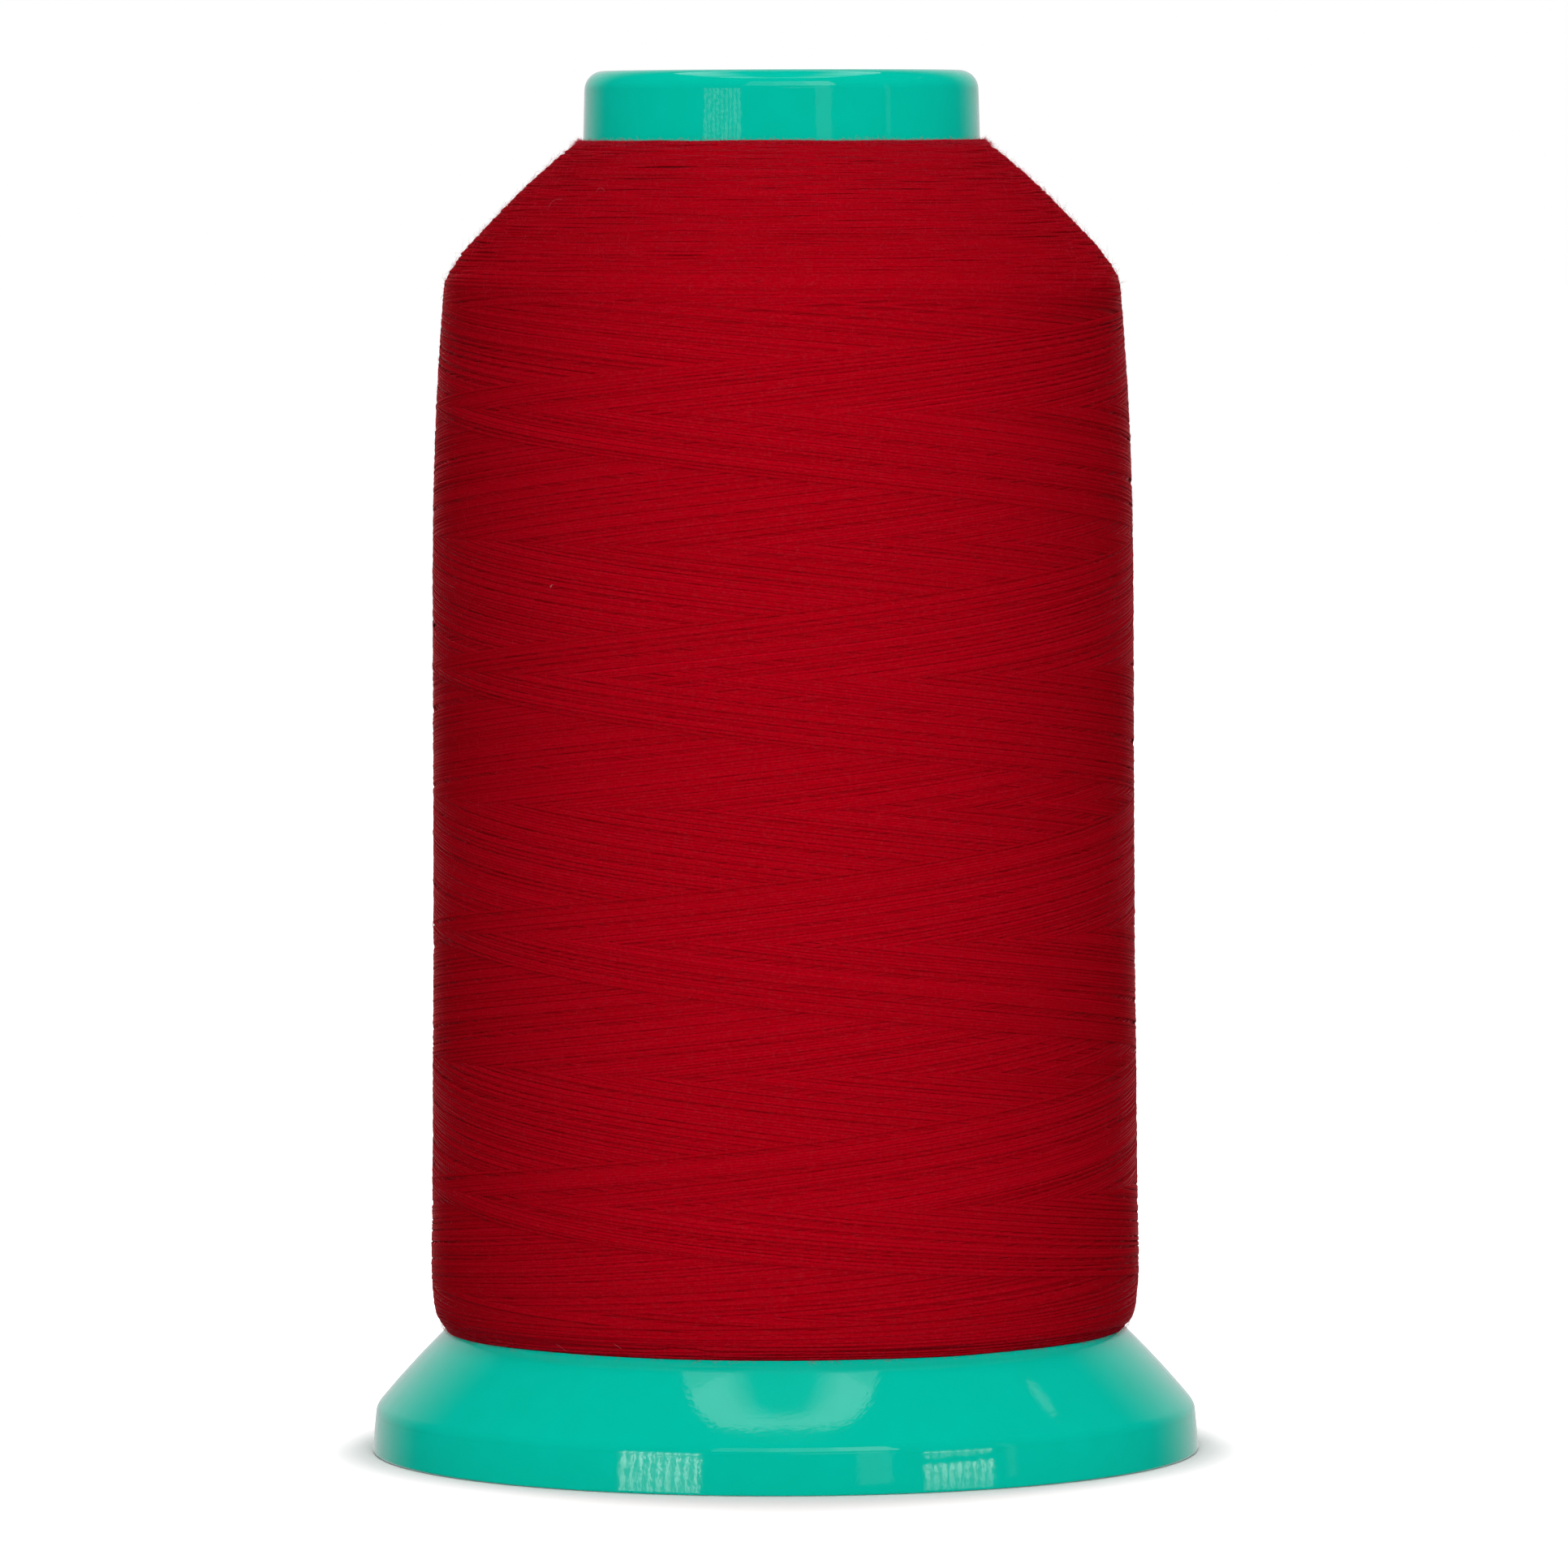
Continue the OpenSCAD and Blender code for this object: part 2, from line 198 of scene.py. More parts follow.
def tubes(name, points, normals, width, height, sides, cells, shade=None):
    """Closed tubes, one to a row of points. The section is an ellipse, width across and height along
    the surface normal, its corners counted from underneath round to underneath.

    The unwrapping cuts every tube into cells points long, and lays the cells in rows over the sheet."""
    along = np.gradient(points, axis=1)
    along /= np.linalg.norm(along, axis=2)[..., None]
    across = np.cross(along, normals)
    across /= np.linalg.norm(across, axis=2)[..., None]
    up = np.cross(across, along)
    corner = 2 * math.pi * np.arange(sides) / sides
    ring = points[:, :, None] + (width[..., None] / 2 * np.sin(corner))[..., None] * across[:, :, None] \
        - (height[..., None] / 2 * np.cos(corner))[..., None] * up[:, :, None]
    rows, count = points.shape[:2]
    lengths = np.linalg.norm(np.diff(points, axis=1, prepend=points[:, :1]), axis=2)
    start = np.arange(rows)[:, None, None] * count * sides
    i = np.arange(count - 1)[None, :, None]
    j = np.arange(sides)[None, None]
    k = (j + 1) % sides
    quads = start[..., None] + np.stack([i * sides + j, i * sides + k,
                                         (i + 1) * sides + k, (i + 1) * sides + j], -1)
    cell = np.arange(rows)[:, None, None] * ((count - 1) // cells) + i // cells
    across_sheet = max(1, int(math.sqrt(cell.max() + 1) / 2)) if cells < STEP else 1
    down_sheet = -(-(cell.max() + 1) // across_sheet)
    low = (cell % across_sheet + i % cells / cells) / across_sheet + 0 * j
    high = low + 1 / cells / across_sheet
    u = np.stack([low, low, high, high], -1)
    v = ((cell // across_sheet)[..., None] + np.stack([j, j + 1, j + 1, j], -1) / sides) / down_sheet
    uv = np.stack([u, v], -1).reshape(-1, 2)
    end = (count - 1) * sides
    caps = np.array([[0, sides - n, sides - n - 1, sides - n - 2] for n in range(1, sides - 2, 2)])
    caps = np.concatenate([caps, end + caps[:, ::-1]])
    quads = np.concatenate([quads.reshape(-1, 4), (start.reshape(-1, 1, 1) + caps).reshape(-1, 4)])
    uv = np.concatenate([uv, np.zeros((rows * caps.size, 2))])
    return mesh_piece(name, ring.reshape(-1, 3), quads.reshape(-1, 4), uv,
                      None if shade is None else np.repeat(shade.ravel(), sides),
                      (np.cumsum(lengths, 1)[:, :, None] / TWIST + np.arange(sides) / sides).ravel())


def strand(name, points, normals, shade):
    """One long tube of pressed thread, each of whose turns is a strip of its own in the unwrapping."""
    size = np.ones((1, len(points)))
    return tubes(name, points[None], normals[None], STRAND_W * size, STRAND_H * size, SIDES, STEP, shade[None])


def bundles():
    """Which bundle each cycle's thread belongs to, and its sideways place from even spacing.

    The threads lie closer than the average, and the length left over is shared out among wider gaps
    that part one bundle from the next."""
    sizes = []
    while sum(sizes) < CYCLES:
        sizes.append(int(random.integers(*BUNDLE)))
    owner = np.repeat(np.arange(len(sizes)), sizes)[:CYCLES]
    gap = np.full(CYCLES, GAP)
    wide = np.flatnonzero(np.diff(owner, prepend=-1))
    extra = 0.3 + random.random(len(wide))
    gap[wide] += (PITCH - gap.sum()) * extra / extra.sum()
    place = np.cumsum(gap) - PITCH / CYCLES * np.arange(CYCLES)
    return owner, place - place.mean()


def build_up(own, other):
    """Height of the newest surface where the ages of the two crossing threads, 0 to 1, are own and other."""
    return BUILD * (1 - own - other)


def rounded(distance, reach):
    """Distance from an apex, its sharp end rounded by a parabola within reach: (distance squared + reach
    squared) / (2 reach)."""
    return np.where(distance < reach, (distance ** 2 + reach ** 2) / (2 * reach), distance)


def cross_winding():
    """The outermost strokes, one unbroken thread.

    The thread turns round the spool evenly while its height follows a triangle wave between the two
    apexes, rounded by a parabola at each. Every cycle starts 1/CYCLES of a turn behind the one before,
    so CYCLES of them fill one pitch. Where up and down strokes cross, the later laid one is on top:
    a and b are the ages, from 0 for the newest to 1, of the thread and of what crosses it, and the
    surface is BUILD (1 - a - b) high. Whole bundles drift sideways, and each thread wavers a little."""
    owner, spread = bundles()
    drift = noise(owner[-1] + 1, CYCLE_POINTS, (0.05, 0.15 * STEP), (0.055, 0.045 * STEP))
    waver = noise(CYCLES, CYCLE_POINTS, (0.02, 0.08 * STEP), (0.035, 0.3 * STEP))
    lift = noise(CYCLES, CYCLE_POINTS, (0.012, 0.08 * STEP))
    tone = noise(CYCLES, CYCLE_POINTS, (0.5, 0.1 * STEP)) + 0.7 * random.standard_normal((CYCLES, 1))
    # How far from an apex, in turns, each stroke's rounding reaches.
    rounding = 0.87 + 0.15 * np.linspace(0, 1, CYCLES) + random.normal(0, 0.03, CYCLES)
    index = np.arange(CYCLES * CYCLE_POINTS + 1)
    cycle = np.minimum(index // CYCLE_POINTS, CYCLES - 1)
    part = index - cycle * CYCLE_POINTS
    tau = part * (TURNS / CYCLE_POINTS)
    column = part % CYCLE_POINTS
    side = (spread[cycle] + drift[owner[cycle], column] + waver[cycle, column]) / PITCH
    half = TURNS / 2
    away = np.abs((tau + side) - half)
    down = rounded(away, rounding[cycle])
    rise = rounded(np.abs(half - away), rounding[cycle])
    run = np.where(away < half / 2, APEX_HIGH - PITCH * down, APEX_LOW + PITCH * rise)
    own = 1 - (cycle + tau / TURNS) / CYCLES
    other = 1 - ((cycle - 1) / CYCLES - 2 * tau) % 1
    # 1 where the thread is on top and 0 where it is below, with a soft change where the two ages cross.
    top = smoothstep((other - own) / 0.03 + 0.5)
    height = build_up(own, other) - UNDER * (1 - top) + lift[cycle, column]
    points, normals = on_package(run, START - cycle / CYCLES + tau, height)
    shade = tone[cycle, column]
    length = CYCLES // PIECES * CYCLE_POINTS
    parts = [slice(piece * length, (piece + 1) * length + 1) for piece in range(PIECES)]
    return [strand(f"outer_winding_{number}", points[part], normals[part], shade[part])
            for number, part in enumerate(parts, 1)]


def spiral(name, low, high, spacing, waves, depth):
    """Near-level turns from one run length to another, sunk to a depth: a spiral plus waves, each turn's
    the mean of two rows of noise, so that neighbours move partly together and partly ride over each other."""
    turns = int(round((high - low) / spacing)) + 1
    index = np.arange(turns * STEP + 1)
    phase = index / STEP
    wander = noise(turns + 1, STEP, *waves)
    wander = (wander + np.roll(wander, 1, 0)) / math.sqrt(2)
    row = np.minimum(index // STEP, turns)
    column = index % STEP
    part = column / STEP
    smooth = wander[row, column] * (1 - part) + wander[np.minimum(row + 1, turns), column] * part
    run = np.clip(low + spacing * phase + smooth, low, high)
    lift = noise(1, len(index), (0.012, 0.04 * STEP), (0.03, 1.1))[0]
    points, normals = on_package(run, phase + 0.5, lift - depth)
    shade = noise(1, len(index), (1.0, 0.5 * STEP), (0.6, 2.0))[0]
    return strand(name, points, normals, shade)


def fuzz(name, hairs, low, high, stand):
    """Fibre ends that stand off the thread between two run lengths: short hairs at random, each a
    parabola that bends as it rises, with lengths spread as a gamma distribution and headings mostly
    along the thread, either way."""
    run = random.uniform(low, high, hairs)
    turns = random.random(hairs)
    length = random.gamma(4.0, 0.15, hairs)
    heading = random.normal(0, 0.9, hairs) + math.pi * random.integers(0, 2, hairs)
    rise = np.abs(random.normal(0, stand, hairs)) + 0.05
    rows = []
    for part in (0.0, 0.5, 1.0):
        along = length * part
        away = rise * part * (1.4 - 0.4 * part)
        bend = 0.25 * along * part
        rows.append(on_package(run + along * np.sin(heading) + bend,
                               turns + along * np.cos(heading) / GIRTH, away)[0])
    points = np.stack(rows, 1)
    _, normals = on_package(np.repeat(run, 3), np.repeat(turns, 3), np.zeros(3 * hairs))
    thick = np.full((hairs, 3), HAIR) * np.array([1.0, 1.0, 0.5])
    return tubes(name, points, normals.reshape(-1, 3, 3), thick, thick, 4, 2)


def lint(name, z, turns, size, winds, drop, width):
    """A stray fibre on the surface, with t from 0 to 1 along it: it curls out round a centre by an angle of
    2 pi winds t^1.3, at a reach that grows from 0.3 to 1 of its size, while the centre moves 0.6 size winds
    round the package and a drop down it."""
    t = np.linspace(0, 1, 49)
    angle = 2 * math.pi * winds * t ** 1.3
    lift = 0.12 + 0.2 * np.sin(math.pi * t)
    reach = size * (0.3 + 0.7 * t)
    level = run_at(z) + reach * np.cos(angle) - drop * t
    points, normals = on_package(level, turns + (reach * np.sin(angle) + 0.6 * size * winds * t) / GIRTH, lift)
    thick = np.full((1, len(t)), width)
    return tubes(name, points[None], normals[None], thick, thick, 6, 48)


def core():
    """The thread beneath the outermost strokes: the outline turned round the axis, just under them.

    At a height the up stroke and the down stroke are tau = T/2 -+ (apex - height) / pitch turns from a
    cycle's start, so the cycle that passes a place is C frac(start + tau - place), and from those two
    comes the age of each, as in cross_winding(). Two plain rings close it inside the barrel's wall."""
    rows, around = 330, 192
    run = np.linspace(FOOT_Z, RUN_TOP, rows)
    level, place = (part.ravel() for part in np.meshgrid(run, np.arange(around) / around, indexing="ij"))
    away = np.clip((APEX_HIGH - level) / PITCH, 0, TURNS / 2)
    ages = [1 - (START + TURNS / 2 + way * away - place) % 1 for way in (-1, 1)]
    points, _ = on_package(level, place, build_up(*ages) - UNDER - CORE_UNDER)
    inner = 15.4         # radius of the two rings
    angle = 2 * math.pi * np.arange(around) / around
    ring = np.stack([inner * np.sin(angle), -inner * np.cos(angle)], 1)
    bottom = np.column_stack([ring, np.full(around, points[0, 2] + 0.4)])
    top = np.column_stack([ring, np.full(around, points[-1, 2] - 0.3)])
    return mesh_piece("package_core", np.concatenate([bottom, points, top]),
                      ring_faces(rows + 2, around, closed=True))


# ---------------------------------------------------------------- materials
def colour(code):
    """An sRGB hex colour as linear red, green, blue and alpha."""
    parts = [int(code[i:i + 2], 16) / 255 for i in (0, 2, 4)]
    return tuple(c / 12.92 if c <= 0.04045 else ((c + 0.055) / 1.055) ** 2.4 for c in parts) + (1.0,)


def add(tree, kind, inputs=None, **settings):
    """Adds a node. Settings are its own properties, or values for its inputs by name. Inputs joins its inputs,
    by name or number, to outputs, or gives them values. A node there stands for its first output."""
    node = tree.nodes.new(kind)
    for name, value in settings.items():
        if hasattr(node, name):
            setattr(node, name, value)
        else:
            node.inputs[name.replace("_", " ")].default_value = value
    for name, value in (inputs or {}).items():
        if isinstance(value, bpy.types.Node):
            value = value.outputs[0]
        if isinstance(value, bpy.types.NodeSocket):
            tree.links.new(value, node.inputs[name])
        else:
            node.inputs[name].default_value = value
    return node


def material(name, **sockets):
    """A material, its nodes and its Principled shader, whose constant sockets are set by name."""
    made = bpy.data.materials.new(name)
    made.use_nodes = True
    tree = made.node_tree
    shader = tree.nodes["Principled BSDF"]
    for socket, value in sockets.items():
        shader.inputs[socket.replace("_", " ")].default_value = value
    return made, tree, shader


def thread_material(name, sheen):
    """Spun polyester sewing thread, dyed red: matt, with plies that twist round each other and pale fuzz
    standing off them.

    It gives the eye a soft grain along every strand, and strands that differ a little from each other. Sheen
    stands for the fuzz: it pales the thread where it turns away, more than suits turns that lie level."""
    made, tree, shader = material(name, Roughness=0.7, Specular_IOR_Level=0.0, Sheen_Weight=sheen,
                                  Sheen_Roughness=0.15, Sheen_Tint=colour("ff9aa0"))
    shade = add(tree, "ShaderNodeAttribute", attribute_name="shade")
    tone = add(tree, "ShaderNodeMapRange", {"Value": shade.outputs["Fac"]}, clamp=True, From_Min=-2.5, From_Max=2.5)
    dye = add(tree, "ShaderNodeMix", {"Factor": tone, "A": colour("9f000f"), "B": colour("ae0015")},
              data_type="RGBA")
    # The fibres are 0.012 mm thick. Their speckle is drawn 0.2 mm coarse, so that it shows.
    place = add(tree, "ShaderNodeTexCoord")
    fibres = add(tree, "ShaderNodeTexNoise", {"Vector": place.outputs["Object"]}, Scale=5000.0, Detail=2.0)
    pale = add(tree, "ShaderNodeMapRange", {"Value": fibres}, clamp=True, From_Min=0.45, From_Max=0.8, To_Max=0.13)
    mix = add(tree, "ShaderNodeMix", {"Factor": pale, "A": dye.outputs["Result"], "B": colour("b04448")},
              data_type="RGBA")
    tree.links.new(mix.outputs["Result"], shader.inputs["Base Color"])
    lay = add(tree, "ShaderNodeAttribute", attribute_name="lay")
    turn = add(tree, "ShaderNodeMath", {0: lay.outputs["Fac"], 1: 2 * math.pi}, operation="MULTIPLY")
    ply = add(tree, "ShaderNodeMath", {0: turn}, operation="SINE")
    relief = add(tree, "ShaderNodeMath", {0: ply, 1: fibres}, operation="ADD")
    bump = add(tree, "ShaderNodeBump", {"Height": relief}, Strength=0.15, Distance=0.00003)
    tree.links.new(bump.outputs[0], shader.inputs["Normal"])
    return made


def lean(tree, normal, outward, level, rise, mask):
    """The normal outward * level + up * rise, made one long, where the mask is 1, and the given one elsewhere."""
    side = add(tree, "ShaderNodeVectorMath", {0: outward, "Scale": level}, operation="SCALE")
    up = add(tree, "ShaderNodeCombineXYZ", {"Z": rise})
    total = add(tree, "ShaderNodeVectorMath", {0: side, 1: up}, operation="ADD")
    turned = add(tree, "ShaderNodeVectorTransform", {0: total}, vector_type="NORMAL", convert_from="OBJECT",
                 convert_to="WORLD")
    smooth = add(tree, "ShaderNodeVectorMath", {0: turned}, operation="NORMALIZE")
    mix = add(tree, "ShaderNodeMix", {"Factor": mask, "A": normal, "B": smooth}, data_type="VECTOR")
    return mix.outputs["Result"]


def turned_normal(tree, position):
    """The smooth normal of the moulding's turned profile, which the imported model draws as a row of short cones.

    On an arc of centre (c, h) in radius and height the normal is ((r - c) outward + (z - h) up) / radius.
    The rim's band bulges a little: its normal is outward + (a z + b) up, made one long."""
    flat = add(tree, "ShaderNodeVectorMath", {0: position, 1: (1, 1, 0)}, operation="MULTIPLY")
    r = add(tree, "ShaderNodeVectorMath", {0: flat}, operation="LENGTH").outputs["Value"]
    outward = add(tree, "ShaderNodeVectorMath", {0: flat}, operation="NORMALIZE")
    z = add(tree, "ShaderNodeSeparateXYZ", {0: position}).outputs["Z"]
    normal = add(tree, "ShaderNodeNewGeometry").outputs["Normal"]
    for c, h, radius, slack, steepest in ARCS:
        level = add(tree, "ShaderNodeMath", {0: r, 1: c * MM}, operation="SUBTRACT")
        rise = add(tree, "ShaderNodeMath", {0: z, 1: h * MM}, operation="SUBTRACT")
        square = add(tree, "ShaderNodeMath", {0: rise, 1: rise}, operation="MULTIPLY")
        square = add(tree, "ShaderNodeMath", {0: level, 1: level, 2: square}, operation="MULTIPLY_ADD")
        reach = add(tree, "ShaderNodeMath", {0: square}, operation="SQRT")
        mask = add(tree, "ShaderNodeMath", {0: reach, 1: radius * MM, 2: slack * MM}, operation="COMPARE")
        limit = add(tree, "ShaderNodeMath", {0: level, 1: steepest}, operation="MULTIPLY")
        for less, more in ((0.0, rise), (0.0, level), (rise, limit)):
            inside = add(tree, "ShaderNodeMath", {0: less, 1: more}, operation="LESS_THAN")
            mask = add(tree, "ShaderNodeMath", {0: mask, 1: inside}, operation="MULTIPLY")
        normal = lean(tree, normal, outward, level, rise, mask)
    near, level = (add(tree, "ShaderNodeMath", {0: value, 1: middle * MM, 2: slack * MM}, operation="COMPARE")
                   for value, (middle, slack) in ((r, BAND_RADIUS), (z, BAND_HEIGHT)))
    band = add(tree, "ShaderNodeMath", {0: near, 1: level}, operation="MULTIPLY")
    rise = add(tree, "ShaderNodeMath", {0: z, 1: BAND_LEAN[0] / MM, 2: BAND_LEAN[1]}, operation="MULTIPLY_ADD")
    return lean(tree, normal, outward, 1.0, rise, band)


def plastic_material():
    """Injection moulded polypropylene, gloss finish.

    It gives the eye a saturated colour with a faint mottle, 2.5 mm coarse, where the melt flowed, and
    reflections that ripple. The mould's grain is nearer 0.1 mm, and is drawn 0.4 mm coarse so that it shows."""
    made, tree, shader = material("moulded_green_polypropylene", Roughness=0.05, Specular_IOR_Level=0.5, IOR=1.49,
                                  Diffuse_Roughness=0.6)
    position = add(tree, "ShaderNodeTexCoord").outputs["Object"]
    mottle = add(tree, "ShaderNodeTexNoise", {"Vector": position}, Scale=400.0, Detail=3.0)
    mix = add(tree, "ShaderNodeMix", {"Factor": mottle, "A": colour("00c4aa"), "B": colour("00cab4")},
              data_type="RGBA")
    tree.links.new(mix.outputs["Result"], shader.inputs["Base Color"])
    grain = add(tree, "ShaderNodeTexNoise", {"Vector": position}, Scale=2500.0, Detail=2.0)
    bump = add(tree, "ShaderNodeBump", {"Height": grain, "Normal": turned_normal(tree, position)}, Strength=0.05,
               Distance=0.0001)
    tree.links.new(bump.outputs[0], shader.inputs["Normal"])
    return made


THREAD = thread_material("dyed_polyester_thread", 0.3)
LEVEL_THREAD = thread_material("dyed_polyester_thread_laid_level", 0.06)
PLASTIC = plastic_material()
# The same thread deeper in the package, which shows only in the gaps. It is a plain red a little darker than the
# outer thread, which is painted shade in the gaps.
CORE = material("package_core_thread", Base_Color=colour("a00010"), Roughness=0.9, Specular_IOR_Level=0.1)[0]
# Loose polyester fibre ends: the thread's dye, but so fine that light comes through and pales them.
FIBRE = material("loose_fibre_ends", Base_Color=colour("c02436"), Roughness=0.6, Specular_IOR_Level=0.1)[0]
# Polyester lint, hardly dyed, that settled on the package: thin pale lines.
LINT = material("pale_lint", Base_Color=colour("c87078"), Roughness=0.7, Specular_IOR_Level=0.2)[0]


# ---------------------------------------------------------------- the pieces
def wind_on(piece, finish, node):
    """Gives a piece of thread its finish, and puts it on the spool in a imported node's place."""
    piece.data.materials.append(finish)
    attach(piece, "spool")
    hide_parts(node)


wind_on(core(), CORE, "thread_package")
for piece in cross_winding():
    wind_on(piece, THREAD, "thread_outer_layer")
for name, low, high, spacing, waves, depth in (
        ("shoulder_turns_lower", 96.5, RUN_TOP - 0.05, 0.22, ((0.02, 5),), 0.03),
        ("shoulder_turns_upper", 97.0, RUN_TOP - 0.03, 0.21, ((0.08, 6), (0.06, 2.2), (0.04, 0.9)), 0.0),
        ("foot_turns", FOOT_Z + 0.1, 16.0, 0.24, ((0.06, 6), (0.04, 2.2)), 0.13)):
    wind_on(spiral(name, low, high, spacing, waves, depth), LEVEL_THREAD, "thread_outer_layer")
for name, z, turns, size, winds, drop, width in (
        ("lint_shoulder_left", 103.3, -0.155, 1.6, 0.13, -0.3, 0.014),
        ("lint_shoulder_curl", 104.6, -0.122, 1.2, 0.2, -0.1, 0.014),
        ("lint_side", 73.1, -0.111, 0.15, 1.1, 0.1, 0.025),
        ("lint_foot_left", 11.0, -0.111, 0.7, 0.3, 0.3, 0.016),
        ("lint_foot_right", 11.4, -0.079, 0.5, 0.25, 0.3, 0.016)):
    wind_on(lint(name, z, turns, size, winds, drop, width), LINT, "thread_outer_layer")
for name, hairs, low, high, stand in (
        ("fibre_fuzz", 9000, FOOT_Z + 0.5, RUN_TOP - 0.3, 0.16),
        ("shoulder_fuzz", 8000, run_at(96.5), RUN_TOP - 0.3, 0.22),
        ("collar_edge_fuzz", 6000, RUN_TOP - 0.6, RUN_TOP, 0.2),
        ("foot_edge_fuzz", 1500, FOOT_Z, FOOT_Z + 0.7, 0.2)):
    wind_on(fuzz(name, hairs, low, high, stand), FIBRE, "thread_outer_layer")
for name in ("spool_body", "snap_base"):
    moulding = frame["nodes"][name]
    moulding.data.materials.clear()
    moulding.data.materials.append(PLASTIC)


# ---------------------------------------------------------------- studio
def lamp(name, azimuth, elevation, distance, width, height, watts, shape="RECTANGLE"):
    """A soft box that faces the spool's middle from an azimuth, 0 in front and 90 to the right, and an elevation,
    at a distance in metres. Neither the gloss nor the camera sees it."""
    light = bpy.data.lights.new(name, "AREA")
    light.shape = shape
    light.size, light.size_y = width, height
    light.energy = watts
    placed = bpy.data.objects.new(name, light)
    a, e = math.radians(azimuth), math.radians(elevation)
    way = Vector((math.sin(a) * math.cos(e), -math.cos(a) * math.cos(e), math.sin(e)))
    placed.location = Vector((0, 0, 0.055)) + distance * way
    placed.rotation_euler = way.to_track_quat("Z", "Y").to_euler()
    placed.visible_glossy = placed.visible_camera = False
    bpy.context.scene.collection.objects.link(placed)


# Plain soft light from the front and from above, two boxes for the back, and one below for the base.
lamp("front_box", 1, 13, 1.1, 0.5, 0.1, 7.9)
lamp("key_box", 5, 22, 1.1, 0.6, 0.45, 0.9)
lamp("top_box", 0, 82, 0.9, 0.4, 0.4, 3.1, "ELLIPSE")
lamp("left_back_box", -150, 20, 1.1, 0.5, 0.5, 4.0)
lamp("right_back_box", 150, 20, 1.1, 0.5, 0.5, 4.0)
lamp("under_box", 0, -70, 1.0, 0.5, 0.5, 5.0)


def card(name, points, quads, strength, glow):
    """A glowing card that only shows as a reflection in the gloss, with each corner's share of its strength."""
    lit = bpy.data.materials.new(name)
    lit.use_nodes = True
    tree = lit.node_tree
    tree.nodes.clear()
    share = add(tree, "ShaderNodeAttribute", attribute_name="shade")
    level = add(tree, "ShaderNodeMath", {0: share.outputs["Fac"], 1: strength}, operation="MULTIPLY")
    light = add(tree, "ShaderNodeEmission", {"Strength": level}, Color=(1, 1, 1, 1))
    add(tree, "ShaderNodeOutputMaterial", {"Surface": light})
    made = mesh_piece(name, points, quads, shade=glow)
    made.data.materials.append(lit)
    made.visible_camera = made.visible_diffuse = made.visible_shadow = made.visible_transmission = False


def wall_card(name, azimuths, heights, distance, strength, bars=1, share=1.0, glow=(1, 1)):
    """Upright bars side by side on an arc round the spool, each filling a share of its place, with gaps between,
    and with a glow of their own at the foot and at the top."""
    step = (azimuths[1] - azimuths[0]) / bars
    low = azimuths[0] + step * (np.arange(bars) + (1 - share) / 2)
    a = np.radians(np.stack([low, low + step * share, low + step * share, low], 1))
    z = np.tile([heights[0], heights[0], heights[1], heights[1]], (bars, 1))
    points = np.stack([distance * np.sin(a), -distance * np.cos(a), z], -1).reshape(-1, 3)
    card(name, points, np.arange(4 * bars).reshape(-1, 4), strength,
         np.tile([glow[0], glow[0], glow[1], glow[1]], bars).astype(float))


def ring_card(name, height, loops, power, strength):
    """A level card of loops about nearly one centre, each |x / a|^power + |y / b|^power = 1 with its own glow,
    which is halved in the strip just in front of the spool."""
    strip = (-62, 0)
    t = 2 * math.pi * np.arange(96) / 96
    c, s = np.cos(t), np.sin(t)
    x, y = np.sign(c) * np.abs(c) ** (2 / power), np.sign(s) * np.abs(s) ** (2 / power)
    points = np.concatenate([np.stack([cx + a * x, cy + b * y, 0 * t + height], 1) for cx, cy, a, b, _ in loops])
    glow = np.repeat([loop[-1] for loop in loops], len(t)).astype(float)
    glow *= np.where((points[:, 1] > strip[0]) & (points[:, 1] < strip[1]), 0.5, 1.0)
    card(name, points, ring_faces(len(loops), len(t)), strength, glow)


# Two windows with upright bars, seen in the rim and the collar, each with a paler pane behind its bars. Then come
# faint upright strips, soft boxes above the front, a ring lamp over the collar and a small lamp behind.
wall_card("window_bars", (-45.8, -22.8), (-200, 105), 600, 5.5, 9, 0.35, (0.3, 1.4))
wall_card("window_top_bars", (-45.8, -22.8), (105, 165), 600, 1.5, 9, 0.35)
wall_card("window_pane", (-45.8, -22.8), (-200, 107), 610, 0.6, 8)
wall_card("window_top_pane", (-45.8, -22.8), (107, 165), 610, 0.1, 8)
wall_card("low_window_bars", (37.5, 58.0), (-80, 51), 600, 5.5, 9, 0.4, (0.3, 1.2))
wall_card("low_window_top", (37.5, 58.0), (78, 102), 600, 2.2, 9, 0.5)
wall_card("low_window_pane", (37.5, 58.0), (-80, 51), 610, 0.5, 8)
wall_card("door_edge", (19.5, 29), (-60, 900), 1000, 0.35)
wall_card("far_edge", (63, 66), (-60, 500), 1000, 0.2)
wall_card("front_box_left", (-22, -5), (460, 1060), 1000, 0.5)
wall_card("front_box_middle", (-5, 15), (460, 1060), 1000, 0.8)
wall_card("front_box_right", (15, 33), (460, 1060), 1000, 1.6)
wall_card("low_strip", (2, 27), (210, 250), 1000, 1.0)
ring_card("ring_lamp", 400, ((-4, 48, 46, 164, 0), (-5, 50, 92, 177, 1), (-6, 50, 134, 186, 1)), 3.2, 1.6)
ring_card("small_back_lamp", 720, ((640, 285, 1, 1, 1), (640, 285, 45, 30, 1)), 2.0, 0.6)

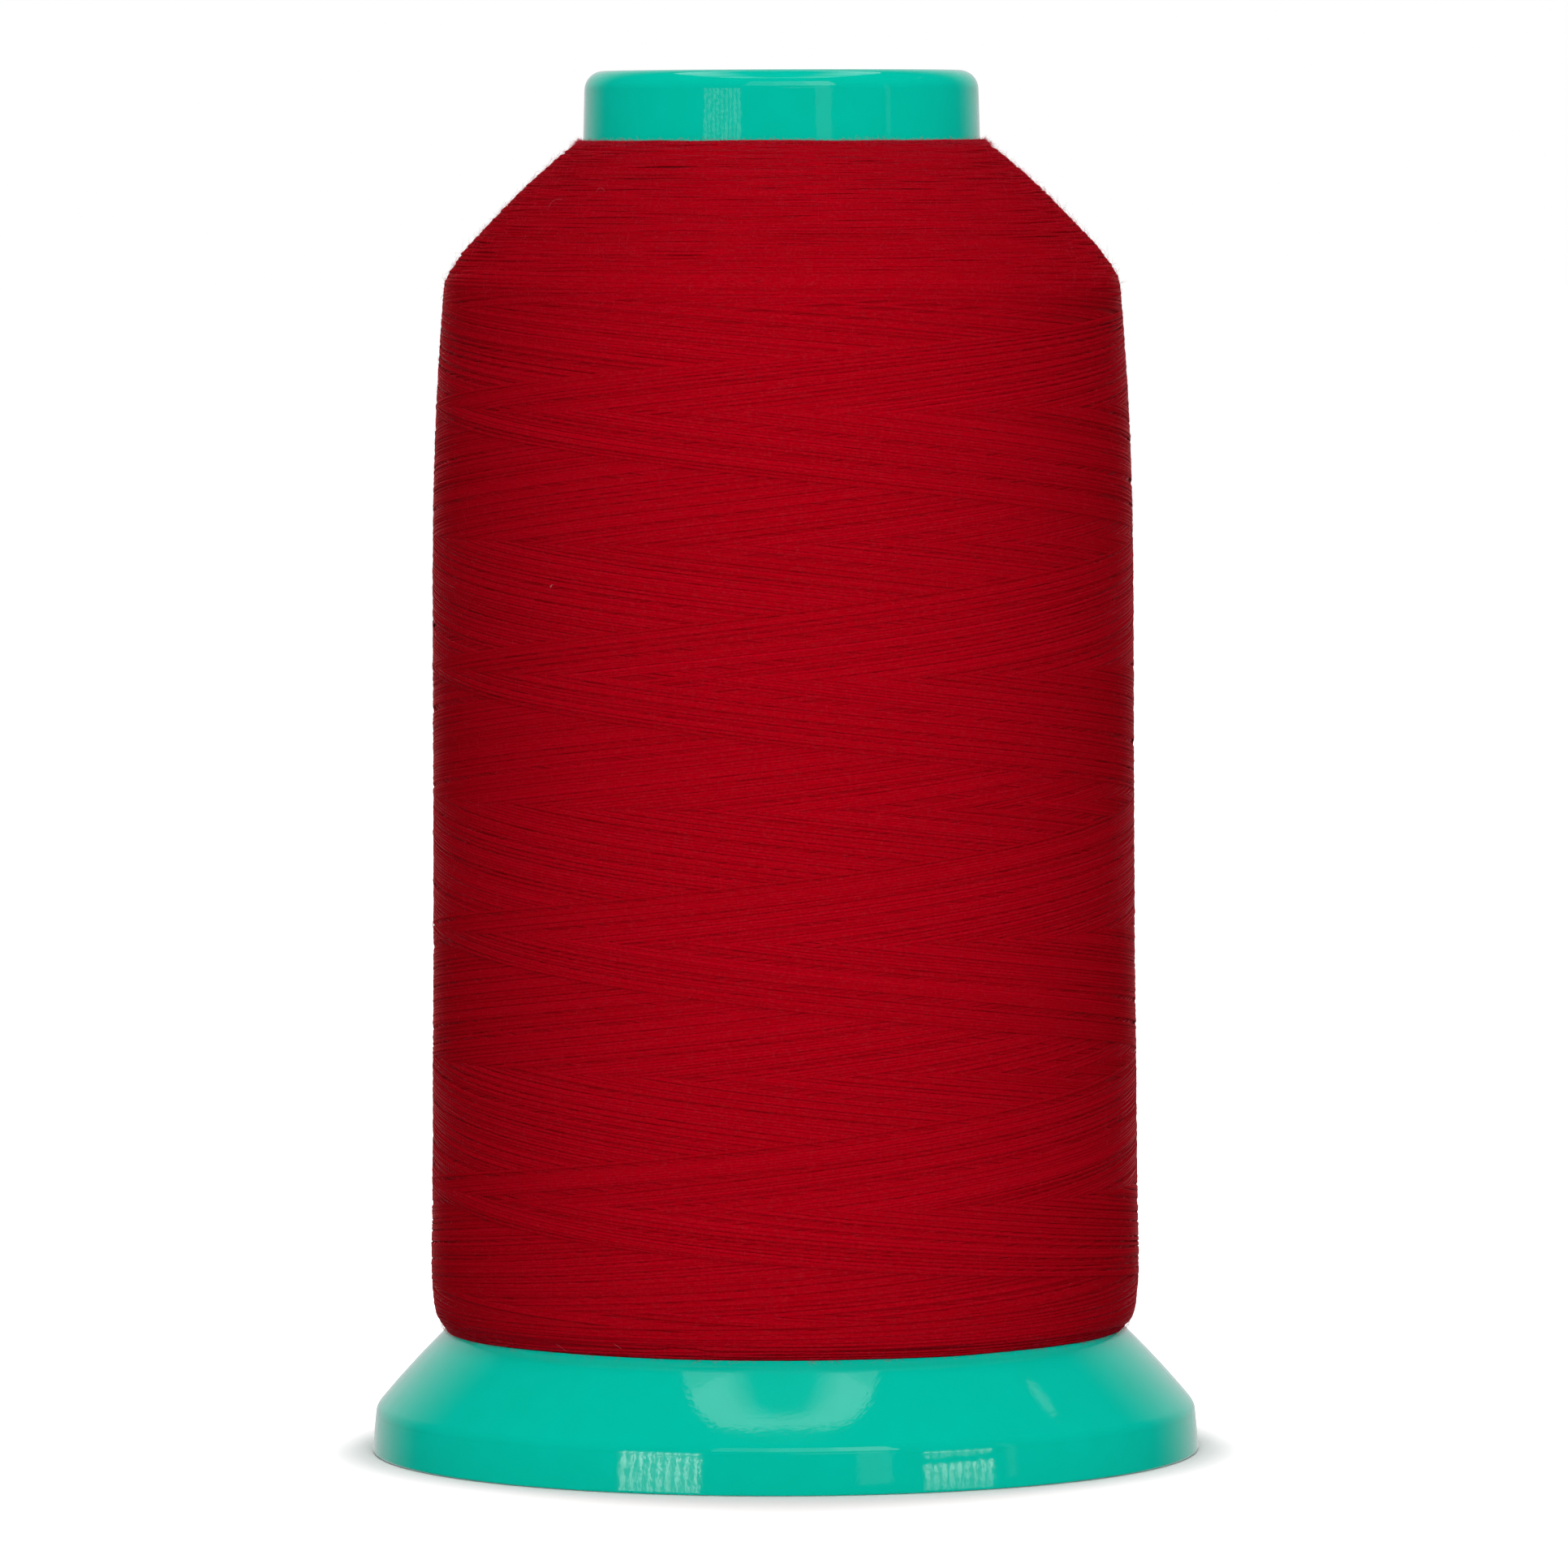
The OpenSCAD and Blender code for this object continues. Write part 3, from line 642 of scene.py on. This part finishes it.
# World: white to the camera, and to everything else a soft light that comes only from behind the spool.
world = bpy.data.worlds.new("white_studio")
bpy.context.scene.world = world
world.use_nodes = True
sky = world.node_tree
sky.nodes.clear()
seen = add(sky, "ShaderNodeLightPath")
around = add(sky, "ShaderNodeTexCoord")
split = add(sky, "ShaderNodeSeparateXYZ", {"Vector": around.outputs["Generated"]})
behind = add(sky, "ShaderNodeMapRange", {"Value": split.outputs["Y"]}, interpolation_type="SMOOTHSTEP",
             From_Min=0.55, From_Max=1.0, To_Min=0.02, To_Max=0.7)
fill = add(sky, "ShaderNodeBackground", {"Strength": behind}, Color=(1, 1, 1, 1))
white = add(sky, "ShaderNodeBackground", Color=(1, 1, 1, 1), Strength=1.0)
pick = add(sky, "ShaderNodeMixShader", {0: seen.outputs["Is Camera Ray"], 1: fill, 2: white})
add(sky, "ShaderNodeOutputWorld", {"Surface": pick})

# Floor: pale, and white to the camera except for the spool's shadow, which is real shade with a painted shadow on top
# where the glow to the camera fades out near the rim. It has a round hole under the snap base, so that light from
# below reaches the base, and the camera sees through it from below. It goes down with the base, which stands on it
# when it is pulled out.
# The hole is a hair wider than the chamfered foot that stands over it.
FLOOR_SIDES = 96
HOLE = 32.4              # radius of the hole, and of the floor's outer edge
FLOOR_EDGE = 8000.0
turn = 2 * math.pi * np.arange(FLOOR_SIDES) / FLOOR_SIDES
rings = np.array([HOLE, 60.0, 200.0, FLOOR_EDGE])
floor_points = np.stack([np.outer(rings, np.cos(turn)), np.outer(rings, np.sin(turn)),
                         np.full((len(rings), FLOOR_SIDES), -0.02)], -1)
floor = mesh_piece("studio_floor", floor_points.reshape(-1, 3), ring_faces(len(rings), FLOOR_SIDES)[:, ::-1])
pale, tree, shader = material("pale_floor", Roughness=0.9, Specular_IOR_Level=0.0)
seen = add(tree, "ShaderNodeLightPath").outputs["Is Camera Ray"]
# It sends less light back at the spool than it shows the camera, so the thread darkens towards its sides.
bounce = add(tree, "ShaderNodeMix", {"Factor": seen, "A": (0.5, 0.5, 0.5, 1), "B": (0.92, 0.92, 0.92, 1)},
             data_type="RGBA")
tree.links.new(bounce.outputs["Result"], shader.inputs["Base Color"])
# The glow to the camera fades out towards the rim, over the distance (r - rim) (1 + 1.7 (x / r)^2). This paints the
# shadow's reach over the real shade, and makes it narrower at the sides.
position = add(tree, "ShaderNodeTexCoord").outputs["Object"]
r = add(tree, "ShaderNodeVectorMath", {0: position}, operation="LENGTH").outputs["Value"]
x = add(tree, "ShaderNodeSeparateXYZ", {0: position}).outputs["X"]
past_rim = add(tree, "ShaderNodeMath", {0: r, 1: BAND_RADIUS[0] * MM}, operation="SUBTRACT")
sideways = add(tree, "ShaderNodeMath", {0: x, 1: r}, operation="DIVIDE")
square = add(tree, "ShaderNodeMath", {0: sideways, 1: sideways}, operation="MULTIPLY")
narrowing = add(tree, "ShaderNodeMath", {0: square, 1: 1.7, 2: 1.0}, operation="MULTIPLY_ADD")
depth = add(tree, "ShaderNodeMath", {0: past_rim, 1: narrowing}, operation="MULTIPLY")
fade = add(tree, "ShaderNodeMapRange", {"Value": depth}, From_Max=0.0235)
glow = add(tree, "ShaderNodeMath", {0: fade, 1: seen}, operation="MULTIPLY")
tree.links.new(glow.outputs[0], shader.inputs["Emission Strength"])
shader.inputs["Emission Color"].default_value = (1, 1, 1, 1)
under = add(tree, "ShaderNodeNewGeometry").outputs["Backfacing"]
clear = add(tree, "ShaderNodeMath", {0: under, 1: seen}, operation="MULTIPLY")
through = add(tree, "ShaderNodeBsdfTransparent")
either = add(tree, "ShaderNodeMixShader", {0: clear, 1: shader, 2: through})
tree.links.new(either.outputs[0], tree.nodes["Material Output"].inputs["Surface"])
floor.data.materials.append(pale)
floor.visible_glossy = False
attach(floor, "tail_lock_base")

# ---------------------------------------------------------------- camera
camera = bpy.data.objects.new("camera", bpy.data.cameras.new("camera"))
bpy.context.scene.collection.objects.link(camera)
bpy.context.scene.camera = camera
camera.data.lens = 262.0
camera.data.sensor_width = 36.0
camera.data.clip_end = 50
camera.location = (0, -0.95, 0.1084)
aim = Vector((0.00003, 0, 0.05562))
roll = Quaternion((0, 0, 1), -0.00318)
camera.rotation_euler = ((aim - camera.location).to_track_quat("-Z", "Y") @ roll).to_euler()

bpy.context.scene.view_settings.view_transform = "Standard"
